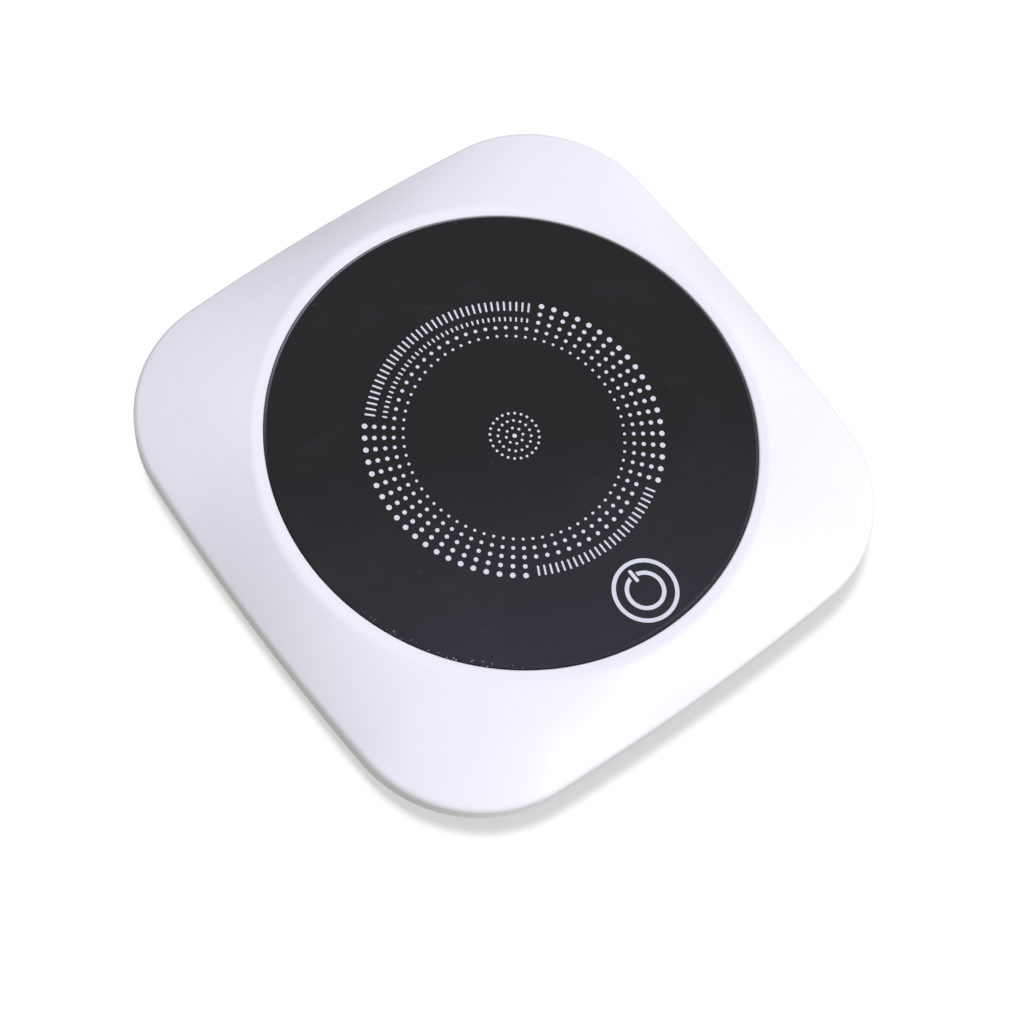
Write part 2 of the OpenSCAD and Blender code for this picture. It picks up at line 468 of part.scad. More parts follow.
// heater tabs to the connector and to the thermostat
module heater_leads() {
    color([0.75, 0.15, 0.12]) wire(smooth([[0, -29.6, z_tr0 - 0.05], [0, -29.5, z_m0 - 1], [-0.3, -29, z_br0 + 0.4], [-2, -27, z_br0 - 0.8], [-7, -23, z_br0 - 1.1], [-10.6, -21.2, z_w + 0.9], [-12.5, -23.6, z_w + 0.2], [-12.5, -26, z_w], [-12.5, cy + 0.03, z_w]]), 0.65);
    color([0.75, 0.15, 0.12]) wire(smooth([[0, -24, z_tr0 - 0.05], [0, -23.9, z_m0 - 1], [0.4, -23.7, z_br0 + 0.4], [2.4, -22.4, z_br0 - 0.8], [8.6, -17.6, z_br0 - 1.6], [14.6, -12.2, z_br0 - 2], [18.6, -8, z_br0 - 2.05], [20, -5.4, z_br0 - 2.05], [20, -3.6, z_br0 - 2.05]]), 0.65);
}
// fuse to the fixed terminal, and the common terminal to the connector
module thermostat_leads() {
    color([0.15, 0.2, 0.6]) wire(smooth([[20, 15.58, z_br0 - 2.05], [19.6, 17.6, z_br0 - 2.6], [16, 18.6, z_br0 - 4.6], [12.6, 15, z_br0 - 5.6], [12, 8, arm_z + 0.2], [11.8, 3.6, arm_z + 0.45], [11.6, 0.4, arm_z + 0.5]]), 0.65);
    color([0.15, 0.2, 0.6]) wire(smooth([[-11.6, -0.4, arm_z - 1.15], [-11.8, -3.6, arm_z - 1.1], [-12.6, -9, arm_z - 0.2], [-12, -16, z_w - 0.3], [-10.5, -21.6, z_w - 0.8], [-10.5, -25, z_w], [-10.5, cy + 0.03, z_w]]), 0.65);
}
module sensor_leads() {
    color([0.12, 0.12, 0.12]) for (s = [-1, 1])
        wire(smooth([[-13, 12 + s * 0.9, z_br0 - 1.4], [-12.2, 11.6 + s * 0.9, z_br0 - 1.7], [-11.6 + s * 0.5, 8, arm_z + 1.8 + s * 0.7], [-15.5 - s * 0.5, -2, 6 + s * 0.9], [-15.5 - s * 0.6, -14, 5.6 + s * 0.9],
            [-8 - s * 0.6, -19, 7 + s * 0.9], [-2.6 - s * 0.9, -21, z_w - 1.4 + s * 0.2], [-2.6 - s, -24.5, z_w], [-2.6 - s, cy + 0.03, z_w]]), 0.5, 6);
}
module inlet_leads() {
    color([0.7, 0.1, 0.1]) wire(smooth([[0, 45.95, inlet_z], [0.3, 43.8, inlet_z - 0.1], [6, 38, 6], [20, 30, 5.2], [27.6, 18, 5.2], [27.6, 0, 5.2], [22, -14, 6.2], [12, -20.5, z_w - 2.2], [7.3, -23, z_w - 0.5], [7.3, -25.4, z_w], [7.3, cy + 0.03, z_w]]), 0.75);
    color([0.1, 0.1, 0.1]) wire(smooth([[0, 47.6, z_floor + 1.38], [0, 45, z_floor + 1.38], [1.6, 38, 4.9], [16, 27.6, 5.2], [24.8, 16, 5.2], [24.8, 0, 5.2], [18, -13, 6.0], [8, -19.4, z_w - 2.6], [5.3, -22.4, z_w - 0.7], [5.3, -25.4, z_w], [5.3, cy + 0.03, z_w]]), 0.75);
}

// ---------------------------------------------------------------- underside
module case_screws() color([0.7, 0.7, 0.72]) for (p = case_xy) translate([p[0], p[1], 4]) screw(10, 1.45, 2.8, 1.6);
module rubber_feet() color([0.2, 0.2, 0.21]) for (i = [-1, 1]) for (j = [-1, 1]) translate([i * foot_xy, j * foot_xy, 0])
    rotate_extrude() polygon([[0, 0], [5.6, 0], [6.1, 0.2], [6.4, 0.8], [6.4, 2.3], [0, 2.3]]);
module rating_plate() color([0.85, 0.85, 0.86]) translate([0, 0, z_base]) rbox(45.4, 25.4, 0.2, 1.5);

top_cover();
bottom_cover();
glass_plate();
glass_seal();
thermal_pad();
heat_spreader();
mica_upper();
heater_track();
mica_lower();
insulation_pad();
heater_bracket();
bracket_screws();
thermostat_cap();
thermostat_body();
disc_guide();
bimetal_disc();
push_pin();
contact_arm();
moving_contact();
fixed_terminal();
common_terminal();
thermostat_flange();
flange_screws();
thermistor();
thermistor_screw();
thermal_fuse();
fuse_clip();
control_board();
board_screws();
controller_chip();
power_transistor();
voltage_regulator();
filter_capacitor();
choke();
chip_parts();
heater_connector();
sensor_connector();
power_connector();
touch_spring();
light_guide();
indicator_lights();
inlet_shell();
inlet_pin();
inlet_spring();
heater_leads();
thermostat_leads();
sensor_leads();
inlet_leads();
case_screws();
rubber_feet();
rating_plate();
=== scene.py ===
"""Electric mug warmer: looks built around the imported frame. Metres, front towards -Y, +Z up."""
import json
import math

import bmesh
import bpy
import numpy as np
from mathutils import Matrix, Vector

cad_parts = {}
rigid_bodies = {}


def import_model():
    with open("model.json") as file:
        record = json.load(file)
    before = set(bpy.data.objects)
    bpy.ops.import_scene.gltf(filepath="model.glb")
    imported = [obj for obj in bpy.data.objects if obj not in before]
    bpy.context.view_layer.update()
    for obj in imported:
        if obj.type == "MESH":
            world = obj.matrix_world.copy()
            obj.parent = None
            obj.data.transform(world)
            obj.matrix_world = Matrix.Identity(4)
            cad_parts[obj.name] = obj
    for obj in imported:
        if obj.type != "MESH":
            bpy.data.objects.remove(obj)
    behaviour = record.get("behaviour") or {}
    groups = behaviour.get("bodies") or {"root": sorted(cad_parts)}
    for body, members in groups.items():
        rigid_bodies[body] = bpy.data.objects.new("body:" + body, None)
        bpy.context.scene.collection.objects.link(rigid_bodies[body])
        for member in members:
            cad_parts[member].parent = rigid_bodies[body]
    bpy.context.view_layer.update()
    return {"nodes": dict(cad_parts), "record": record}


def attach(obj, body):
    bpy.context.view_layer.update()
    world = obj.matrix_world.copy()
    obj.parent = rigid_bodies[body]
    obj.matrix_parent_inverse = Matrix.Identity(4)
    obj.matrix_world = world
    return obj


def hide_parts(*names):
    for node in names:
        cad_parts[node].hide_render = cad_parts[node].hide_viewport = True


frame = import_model()
NODES = frame["nodes"]
BODY_OF = {n: b for b, ns in frame["record"]["behaviour"]["bodies"].items() for n in ns}
ROOT = BODY_OF["top_cover"]
MM = 0.001
scene = bpy.context.scene

# ------------------------------------------------------------------ sizes, in millimetres, as in the frame
HALF, SIDE_R, CORNER_R = 70.0, 600.0, 31.8
Z_GLASS, Z_GB, Z_SEAL, Z_RING = 23.0, 19.0, 18.6, 22.5
Z_RIM, Z_SKIRT, Z_BASE, Z_FLOOR, Z_LIP = 13.7, 8.2, 1.5, 3.5, 11.8
GLASS_R, OPEN_R, RING_R, SEAT_R, WALL = 55.0, 55.3, 57.6, 50.5, 2.0
KEY = (0.961, -45.766)
KEY_TURN = math.radians(1.3)
DIAL = (-0.279, -0.536)


# ------------------------------------------------------------------ camera, at the photograph's viewing angle
def add_camera():
    cam = bpy.data.cameras.new("main_camera")
    cam.sensor_fit = "HORIZONTAL"
    cam.sensor_width = 36.0
    cam.lens = 36.0 * 2391.43 / 1024.0
    cam.clip_start, cam.clip_end = 0.01, 20.0
    obj = bpy.data.objects.new("main_camera", cam)
    scene.collection.objects.link(obj)
    right = Vector((0.787816, -0.603421, 0.123409)).normalized()
    forward = Vector((0.328614, 0.242342, -0.912844)).normalized()
    up = right.cross(forward).normalized()
    m = Matrix((right, up, -forward)).transposed().to_4x4()
    m.translation = Vector((-0.18267, -0.14067, 0.49747))
    obj.matrix_world = m
    scene.camera = obj


add_camera()


# ------------------------------------------------------------------ the outline: four side arcs joined by four corner arcs
def out_r(a, d=0.0):
    k = SIDE_R - HALF
    big, small = SIDE_R - d, CORNER_R - d
    c = (-k + math.sqrt(2 * (SIDE_R - CORNER_R) ** 2 - k * k)) / 2
    b = math.degrees(a) % 90
    f = math.radians(abs(b - 90 if b > 45 else b))
    ca, sa = math.cos(f), math.sin(f)
    m = big / (SIDE_R - CORNER_R)
    tx, ty = -k + (c + k) * m, c * m
    if f > math.atan2(ty, tx):
        return c * (ca + sa) + math.sqrt((c * (ca + sa)) ** 2 - 2 * c * c + small * small)
    return -k * ca + math.sqrt((k * ca) ** 2 - k * k + big * big)


NA = 384
ANG = [2 * math.pi * i / NA for i in range(NA)]
OUT0 = [out_r(a) for a in ANG]


def arc_between(p, q, r, n):
    """Points of the fillet of radius r at the corner q of the path p[0], q, p[1]."""
    q = np.array(q, float)
    u = np.array(p[0], float) - q
    v = np.array(p[1], float) - q
    u /= np.linalg.norm(u)
    v /= np.linalg.norm(v)
    half = math.acos(max(-1, min(1, float(u @ v)))) / 2
    t = r / math.tan(half)
    w = (u + v) / np.linalg.norm(u + v)
    c = q + w * r / math.sin(half)
    a, b = q + u * t - c, q + v * t - c
    turn = math.pi - 2 * half
    out = []
    for i in range(n + 1):
        s = i / n
        x = (math.sin((1 - s) * turn) * a + math.sin(s * turn) * b) / math.sin(turn)
        out.append(tuple(c + x))
    return out


def band_mesh(name, sections):
    """A closed band: sections[i] is the closed profile [(r, z), ...] at the angle ANG[i]."""
    m = len(sections[0])
    co = [(r * math.cos(a), r * math.sin(a), z) for a, s in zip(ANG, sections) for r, z in s]
    faces = []
    for i in range(NA):
        j = (i + 1) % NA
        for k in range(m):
            l = (k + 1) % m
            faces.append((i * m + k, i * m + l, j * m + l, j * m + k))
    return mesh_object(name, co, faces)


def tub_mesh(name, sections):
    """A closed tub: each profile starts near the axis below and ends near the axis above."""
    m = len(sections[0])
    co = [(r * math.cos(a), r * math.sin(a), z) for a, s in zip(ANG, sections) for r, z in s]
    faces = []
    for i in range(NA):
        j = (i + 1) % NA
        for k in range(m - 1):
            faces.append((i * m + k, i * m + k + 1, j * m + k + 1, j * m + k))
    faces.append([i * m for i in range(NA)])
    faces.append([i * m + m - 1 for i in reversed(range(NA))])
    return mesh_object(name, co, faces)


def mesh_object(name, co, faces, scale=MM, flip=False):
    me = bpy.data.meshes.new(name)
    me.from_pydata([tuple(float(c) * scale for c in v) for v in co], [], [tuple(f) for f in faces])
    me.validate()
    bm = bmesh.new()
    bm.from_mesh(me)
    bmesh.ops.recalc_face_normals(bm, faces=bm.faces)
    if bm.calc_volume(signed=True) < 0:
        bmesh.ops.reverse_faces(bm, faces=bm.faces)
    bm.to_mesh(me)
    bm.free()
    obj = bpy.data.objects.new(name, me)
    scene.collection.objects.link(obj)
    return obj


def prism(name, outline, z0, z1):
    n = len(outline)
    co = [(x, y, z0) for x, y in outline] + [(x, y, z1) for x, y in outline]
    faces = [list(range(n))[::-1], list(range(n, 2 * n))] + [(i, (i + 1) % n, n + (i + 1) % n, n + i) for i in range(n)]
    return mesh_object(name, co, faces)


def circle(r, n, cx=0.0, cy=0.0, a0=0.0):
    return [(cx + r * math.cos(a0 + 2 * math.pi * i / n), cy + r * math.sin(a0 + 2 * math.pi * i / n)) for i in range(n)]


def box_outline(x0, y0, x1, y1, r=0.0, n=6):
    if r <= 0:
        return [(x0, y0), (x1, y0), (x1, y1), (x0, y1)]
    pts = []
    for cx, cy, a in ((x1 - r, y0 + r, -90), (x1 - r, y1 - r, 0), (x0 + r, y1 - r, 90), (x0 + r, y0 + r, 180)):
        for i in range(n + 1):
            t = math.radians(a + 90 * i / n)
            pts.append((cx + r * math.cos(t), cy + r * math.sin(t)))
    return pts


def boolean(obj, cutters, op):
    for c in cutters:
        mod = obj.modifiers.new("b", "BOOLEAN")
        mod.operation = op
        mod.solver = "MANIFOLD"
        mod.object = c
    apply(obj)
    for c in cutters:
        me = c.data
        bpy.data.objects.remove(c)
        bpy.data.meshes.remove(me)


def apply(obj):
    bpy.context.view_layer.update()
    dg = bpy.context.evaluated_depsgraph_get()
    me = bpy.data.meshes.new_from_object(obj.evaluated_get(dg), preserve_all_data_layers=True, depsgraph=dg)
    old = obj.data
    obj.modifiers.clear()
    obj.data = me
    if old.users == 0:
        bpy.data.meshes.remove(old)


def smooth(obj, angle=30.0, weighted=True):
    me = obj.data
    me.polygons.foreach_set("use_smooth", [True] * len(me.polygons))
    me.set_sharp_from_angle(angle=math.radians(angle))
    if weighted:
        mod = obj.modifiers.new("w", "WEIGHTED_NORMAL")
        mod.keep_sharp = True
        mod.weight = 50
        apply(obj)


def lathe(name, profile, n=256, cx=0.0, cy=0.0):
    """A closed solid of revolution. The profile runs from the axis to the axis, without the points on it."""
    co, faces = [], []
    m = len(profile)
    for i in range(n):
        a = 2 * math.pi * i / n
        co += [(cx + r * math.cos(a), cy + r * math.sin(a), z) for r, z in profile]
    for i in range(n):
        j = (i + 1) % n
        for k in range(m - 1):
            faces.append((i * m + k, i * m + k + 1, j * m + k + 1, j * m + k))
    faces.append([i * m for i in range(n)])
    faces.append([i * m + m - 1 for i in reversed(range(n))])
    return mesh_object(name, co, faces)


# ------------------------------------------------------------------ top cover
CASE_XY = [(46.8, 27), (-46.8, 27), (46.8, -27), (-46.8, -27)]
BOARD_XY = [(21, -54), (-21, -54), (21, -32), (-21, -32)]


FALL = Z_RING - Z_RIM
ROLL_R, ROLL_START = 4.1, 57.0
OFF, OFF_AT = 0.2, math.radians(38)      # the glass and its opening sit a little off the middle


def roll_corner(r_end):
    """Radius at which the slope's line would meet the flat ring, so that the roll-over starts at ROLL_START; and its angle."""
    rc = 58.0
    for _ in range(20):
        t = math.atan(0.8 * FALL / (r_end - rc))
        rc = ROLL_START + ROLL_R * math.tan(t / 2)
    return rc, t


def top_section(a):
    r1 = out_r(a, 0.0)
    rc, t = roll_corner(r1 - 0.35)
    span = r1 - 0.35 - rc
    s0 = ROLL_R * math.tan(t / 2) * math.cos(t) / span

    def skin_z(s):
        u = max(0.0, (s - s0) / (1 - s0))
        return Z_RING - FALL * (0.8 * s + 0.2 * u * u)

    p = []
    # opening wall and the flat ring round the glass
    ro = 55.1 + OFF * math.cos(a - OFF_AT)
    p += [(OPEN_R, Z_SEAL), (OPEN_R, 20.0), (ro, 20.8), (ro, Z_RING - 0.4)]
    for i in range(1, 8):
        w = math.radians(90 * i / 7)
        p.append((ro + 0.4 - 0.4 * math.cos(w), Z_RING - 0.4 + 0.4 * math.sin(w)))
    p += [(56.0, Z_RING), (56.5, Z_RING)]
    # roll-over from the ring into the slope
    p += arc_between(((56.5, Z_RING), (r1 - 0.35, Z_RING - 0.8 * FALL)), (rc, Z_RING), ROLL_R, 14)
    n = 24
    for i in range(1, n):
        s = s0 + (0.945 - s0) * i / (n - 1)
        p.append((rc + s * span, skin_z(s)))
    # rim
    before = p[-1]
    slope = (skin_z(1.0) - skin_z(0.99)) / (0.01 * span)
    corner = (r1, before[1] + slope * (r1 - before[0]))
    p += arc_between((before, (r1, Z_SKIRT)), corner, 1.9, 14)
    # skirt, drawn in slightly below, with a small radius at its foot
    p += [(r1 - 0.03, 11.6), (r1 - 0.08, 10.4)]
    p += arc_between(((r1 - 0.08, 10.4), (r1 - WALL, Z_SKIRT)), (r1 - 0.12, Z_SKIRT), 0.25, 5)
    # inside
    p += [(r1 - WALL, Z_SKIRT), (r1 - WALL, 10.6), (r1 - WALL, 12.2)]
    for s in (0.94, 0.85, 0.75, 0.62, 0.5, 0.37, 0.25, 0.12):
        ri = out_r(a, WALL)
        p.append((RING_R + s * (ri - RING_R), Z_RING - 0.1 - (FALL - 0.1) * (0.8 * s + 0.2 * s * s) - WALL * 1.15))
    p += [(57.6, 19.8), (57.6, 17.0), (54.0, 17.0), (SEAT_R, 17.0), (SEAT_R, Z_SEAL), (53.0, Z_SEAL)]
    return p


def build_top_cover():
    obj = band_mesh("top_cover_shell", [top_section(a) for a in ANG])
    add = []
    for x, y in CASE_XY:
        add.append(prism("post", circle(3.3, 48, x, y), 6.0, 17.4))
    for k in range(4):
        a = math.radians(45 + 90 * k)
        add.append(prism("post", circle(3.0, 48, 50 * math.cos(a), 50 * math.sin(a)), 15.05, 18.3))
    boolean(obj, add, "UNION")
    cut = []
    for x, y in CASE_XY:
        cut.append(prism("bore", circle(1.5, 32, x, y), 5.0, 14.5))
    for k in range(4):
        a = math.radians(45 + 90 * k)
        cut.append(prism("bore", circle(1.15, 32, 50 * math.cos(a), 50 * math.sin(a)), 14.25, 18.15))
    cut.append(prism("notch", box_outline(-7, 62, 7, 75), 2.0, 11.4))
    boolean(obj, cut, "DIFFERENCE")
    smooth(obj, 32)
    return obj


# ------------------------------------------------------------------ bottom cover
def bottom_section(a):
    p = []
    for r in (2.0, 20.0, 40.0):
        p.append((r, Z_BASE))
    p.append((out_r(a, 12.0), Z_BASE))
    p += arc_between(((out_r(a, 12.0), Z_BASE), (out_r(a, 6.2), 3.68)), (out_r(a, 9.9), Z_BASE), 1.4, 7)
    for u in (0.33, 0.5, 0.66, 0.82, 0.93):
        p.append((out_r(a, 9 - 8.6 * u), 1.9 + 6.0 * (0.8 * u + 0.2 * u * u)))
    q = (out_r(a, 0.4), 7.9)
    p += arc_between((p[-1], (out_r(a, 2.4), 7.9)), q, 0.25, 5)
    p += [(out_r(a, 2.4), 7.9), (out_r(a, 2.4), 10.2), (out_r(a, 2.4), 11.4), (out_r(a, 2.8), Z_LIP), (out_r(a, 3.9), Z_LIP)]
    p += [(out_r(a, 3.9), 9.9), (out_r(a, 4.3), 8.7), (out_r(a, 6.4), 7.1), (out_r(a, 8.5), 5.55), (out_r(a, 10.6), 4.0), (out_r(a, 11.2), 3.6), (out_r(a, 11.9), Z_FLOOR)]
    p += [(45.0, Z_FLOOR), (20.0, Z_FLOOR), (2.0, Z_FLOOR)]
    return p


def slot_outline(cx, cy, length, width, n=8):
    pts = []
    for sx, a0 in ((1, -90), (-1, 90)):
        for i in range(n + 1):
            t = math.radians(a0 + 180 * i / n)
            pts.append((cx + sx * (length - width) / 2 + width / 2 * math.cos(t), cy + width / 2 * math.sin(t)))
    return pts


def build_bottom_cover():
    obj = tub_mesh("bottom_cover_shell", [bottom_section(a) for a in ANG])
    add = [prism("post", circle(4.2, 48, x, y), 2.5, 6.0) for x, y in CASE_XY]
    add += [prism("post", circle(2.6, 40, x, y), 2.5, 7.5) for x, y in BOARD_XY]
    for s in (-1, 1):
        add.append(prism("rib", box_outline(min(s * 4.7, s * 6.2), 48.5, max(s * 4.7, s * 6.2), 60.31), 2.5, 7.5))
    wall = [(60.3, 2.5), (61.4, 2.5), (63.2, 3.7), (64.8, 5.0), (66.3, 6.4), (66.3, 12.4), (60.3, 12.4)]
    m = len(wall)
    add.append(mesh_object("notch_wall", [(x, y, z) for x in (-8.5, 8.5) for y, z in wall],
                           [list(range(m)), list(range(m, 2 * m))[::-1]] + [(i, m + i, m + (i + 1) % m, (i + 1) % m) for i in range(m)]))
    boolean(obj, add, "UNION")
    cut = [prism("pocket", box_outline(-4.6, 47.9, 4.6, 60.3), Z_FLOOR, 11.8),
           prism("notch", box_outline(-7, 62, 7, 75), -1.0, 11.4)]
    win = lathe("window", [(4.1, -2.0), (4.1, 2.0)], 64)
    win.data.transform(Matrix.Rotation(math.radians(-90), 4, "X"))
    win.data.transform(Matrix.Translation((0, 61 * MM, 7.4 * MM)))
    cut.append(win)
    for x, y in CASE_XY:
        cut.append(prism("sink", circle(3.2, 48, x, y), -1.0, 4.0))
        cut.append(prism("bore", circle(1.7, 32, x, y), 3.0, 7.0))
    for x, y in BOARD_XY:
        cut.append(prism("bore", circle(0.95, 24, x, y), Z_FLOOR, 8.5))
    for x in (-45, 45):
        for y in (-45, 45):
            cut.append(prism("seat", circle(6.6, 64, x, y), -1.0, 2.3))
    cut.append(prism("plate_seat", box_outline(-23, -13, 23, 13, 1.8), -1.0, Z_BASE + 0.2))
    for s in (-1, 1):
        for k in range(-2, 3):
            cut.append(prism("slot", slot_outline(38 * s, 5 * k, 14, 2), -1.0, 8.0))
    boolean(obj, cut, "DIFFERENCE")
    smooth(obj, 32)
    return obj


# ------------------------------------------------------------------ glass plate and the print on it
def build_glass():
    b = 0.6
    prof = [(2.0, Z_GB), (GLASS_R - 0.25, Z_GB), (GLASS_R - 0.08, Z_GB + 0.06), (GLASS_R, Z_GB + 0.25), (GLASS_R, Z_GLASS - b - 0.1)]
    # softened bevel
    prof += arc_between(((GLASS_R, Z_GB + 1), (GLASS_R - b, Z_GLASS)), (GLASS_R, Z_GLASS - b), 0.12, 4)
    prof += arc_between(((GLASS_R, Z_GLASS - b), (GLASS_R - 3, Z_GLASS)), (GLASS_R - b, Z_GLASS), 0.1, 4)
    prof += [(GLASS_R - 1.0, Z_GLASS), (40.0, Z_GLASS), (20.0, Z_GLASS), (2.0, Z_GLASS)]
    obj = lathe("glass_disc", [(r - 0.06 if r > GLASS_R - 2 else r, z) for r, z in prof], 512)
    obj.data.transform(Matrix.Translation((OFF * math.cos(OFF_AT) * MM, OFF * math.sin(OFF_AT) * MM, 0)))
    smooth(obj, 40)
    return obj


PRINT_LOW, PRINT_HIGH = Z_GLASS - 0.01, Z_GLASS + 0.025


def joined(name, parts):
    """One mesh out of several closed outlines, each a prism."""
    co, faces = [], []
    for outline, hole in parts:
        n = len(outline)
        base = len(co)
        if hole is None:
            co += [(x, y, PRINT_LOW) for x, y in outline] + [(x, y, PRINT_HIGH) for x, y in outline]
            faces += [[base + i for i in range(n)][::-1], [base + n + i for i in range(n)]]
            faces += [(base + i, base + (i + 1) % n, base + n + (i + 1) % n, base + n + i) for i in range(n)]
        else:
            for z in (PRINT_LOW, PRINT_HIGH):
                co += [(x, y, z) for x, y in outline] + [(x, y, z) for x, y in hole]
            for i in range(n):
                j = (i + 1) % n
                faces.append((base + i, base + n + i, base + n + j, base + j))
                faces.append((base + 2 * n + i, base + 2 * n + j, base + 3 * n + j, base + 3 * n + i))
                faces.append((base + i, base + j, base + 2 * n + j, base + 2 * n + i))
                faces.append((base + n + i, base + 3 * n + i, base + 3 * n + j, base + n + j))
    obj = mesh_object(name, co, faces)
    obj.data.polygons.foreach_set("use_smooth", [False] * len(obj.data.polygons))
    return obj


def placed(pts, angle, centre):
    c, s = math.cos(angle), math.sin(angle)
    return [(c * x - s * y + centre[0], s * x + c * y + centre[1]) for x, y in pts]


def cut_ring(r0, r1, left, right, n=96):
    """Ring open at its top: its ends are cut along two upright lines, at x = -left and x = right."""
    def span(r):
        return math.acos(-left / r), math.acos(right / r) + 2 * math.pi
    a, b = span(r1)
    pts = [(r1 * math.cos(a + (b - a) * i / n), r1 * math.sin(a + (b - a) * i / n)) for i in range(n + 1)]
    a, b = span(r0)
    pts += [(r0 * math.cos(b + (a - b) * i / n), r0 * math.sin(b + (a - b) * i / n)) for i in range(n + 1)]
    return pts


def line_band(x0, y0, x1, y1, w, caps=8):
    a = math.atan2(y1 - y0, x1 - x0)
    pts = []
    for i in range(caps + 1):
        t = a - math.pi / 2 + math.pi * i / caps
        pts.append((x1 + w / 2 * math.cos(t), y1 + w / 2 * math.sin(t)))
    for i in range(caps + 1):
        t = a + math.pi / 2 + math.pi * i / caps
        pts.append((x0 + w / 2 * math.cos(t), y0 + w / 2 * math.sin(t)))
    return pts


RINGS = [(24.624, 0.66), (26.733, 0.86), (28.846, 0.95), (30.974, 1.02), (33.101, 1.24)]
FIRST, STEP = 1.848, 5.0


def dot_outlines():
    parts = []
    for k, (r, d) in enumerate(RINGS):
        for i in range(72):
            a = FIRST + STEP * i
            b = (a + 180) % 360 - 180
            if k >= 2 and 42 < b < 141.5:
                continue
            if k >= 3 and -123 < b < -53.3:
                continue
            t = math.radians(a)
            parts.append((circle(d / 2, 24, r * math.cos(t), r * math.sin(t)), None))
    return parts


def tick(r0, r1, deg, w):
    return placed(line_band(r0 + w / 2, 0, r1 - w / 2, 0, w, 5), math.radians(deg), (0, 0))


def tick_outlines():
    """Plain scale marks where the outer dot rings leave off."""
    parts = []
    for i in range(37):
        a = FIRST + 45 + STEP / 2 * i
        parts.append((tick(30.95, 33.35, a, 0.44), None))
        parts.append((tick(28.3, 29.45, a, 0.4), None))
    for i in range(25):
        parts.append((tick(30.95, 33.35, FIRST - 120 + STEP / 2 * i, 0.44), None))
    return parts


def centre_outlines():
    """Small round mark in the middle: a dot and three rings of dots."""
    parts = [(circle(0.5, 24), None)]
    for r, m, d in ((1.9, 8, 0.62), (3.7, 16, 0.62), (5.5, 24, 0.62)):
        for i in range(m):
            t = 2 * math.pi * (i + 0.5) / m
            parts.append((circle(d / 2, 20, r * math.cos(t), r * math.sin(t)), None))
    return parts


def build_print():
    def on(parts, turn, centre):
        return [(placed(o, turn, centre), None if h is None else placed(h, turn, centre)) for o, h in parts]
    n = 128
    key = [(circle(7.44, n), circle(6.50, n)), (cut_ring(3.62, 4.57, 1.0, 0.82), None), (line_band(0, 5.3, 0, 2.87, 0.84), None)]
    return [joined("print_dot_rings", on(dot_outlines(), 0, DIAL)),
            joined("print_scale_marks", on(tick_outlines(), 0, DIAL)),
            joined("print_centre_mark", on(centre_outlines(), 0, DIAL)),
            joined("print_power_symbol", on(key, KEY_TURN, KEY))]


# ------------------------------------------------------------------ materials
def node_tree(name):
    mat = bpy.data.materials.new(name)
    mat.use_nodes = True
    nt = mat.node_tree
    return mat, nt, nt.nodes["Principled BSDF"]


def link(nt, a, b):
    nt.links.new(a, b)


def coords(nt, scale=(1, 1, 1)):
    tc = nt.nodes.new("ShaderNodeTexCoord")
    mp = nt.nodes.new("ShaderNodeMapping")
    mp.inputs["Scale"].default_value = scale
    link(nt, tc.outputs["Object"], mp.inputs["Vector"])
    return mp.outputs["Vector"]


def noise(nt, vec, scale, detail=3.0, rough=0.5, distortion=0.0):
    n = nt.nodes.new("ShaderNodeTexNoise")
    n.inputs["Scale"].default_value = scale
    n.inputs["Detail"].default_value = detail
    n.inputs["Roughness"].default_value = rough
    n.inputs["Distortion"].default_value = distortion
    link(nt, vec, n.inputs["Vector"])
    return n.outputs["Fac"]


def ramp(nt, fac, stops):
    r = nt.nodes.new("ShaderNodeValToRGB")
    el = r.color_ramp.elements
    while len(el) < len(stops):
        el.new(0.5)
    for e, (p, c) in zip(el, stops):
        e.position = p
        e.color = c if len(c) == 4 else (*c, 1.0)
    link(nt, fac, r.inputs["Fac"])
    return r.outputs["Color"]


def math_node(nt, op, a, b=None, c=None):
    m = nt.nodes.new("ShaderNodeMath")
    m.operation = op
    for i, v in enumerate((a, b, c)):
        if v is None:
            continue
        if isinstance(v, (int, float)):
            m.inputs[i].default_value = v
        else:
            link(nt, v, m.inputs[i])
    return m.outputs[0]


def remap(nt, v, a, b, c, d):
    m = nt.nodes.new("ShaderNodeMapRange")
    m.clamp = True
    for i, x in zip(("From Min", "From Max", "To Min", "To Max"), (a, b, c, d)):
        m.inputs[i].default_value = x
    link(nt, v, m.inputs["Value"])
    return m.outputs["Result"]


def mix_rgb(nt, fac, a, b):
    m = nt.nodes.new("ShaderNodeMix")
    m.data_type = "RGBA"
    if isinstance(fac, (int, float)):
        m.inputs["Factor"].default_value = fac
    else:
        link(nt, fac, m.inputs["Factor"])
    for i, v in (("A", a), ("B", b)):
        s = [x for x in m.inputs if x.name == i and x.type == "RGBA"][0]
        if isinstance(v, (tuple, list)):
            s.default_value = (*v[:3], 1.0)
        else:
            link(nt, v, s)
    return [o for o in m.outputs if o.type == "RGBA"][0]


def bump(nt, bsdf, height, distance, strength=1.0, chain=None):
    b = nt.nodes.new("ShaderNodeBump")
    b.inputs["Distance"].default_value = distance
    b.inputs["Strength"].default_value = strength
    link(nt, height, b.inputs["Height"])
    if chain is not None:
        link(nt, chain, b.inputs["Normal"])
    link(nt, b.outputs["Normal"], bsdf.inputs["Normal"])
    return b.outputs["Normal"]


def shade(c, k):
    return tuple(max(0.0, min(1.0, x * k)) for x in c[:3])


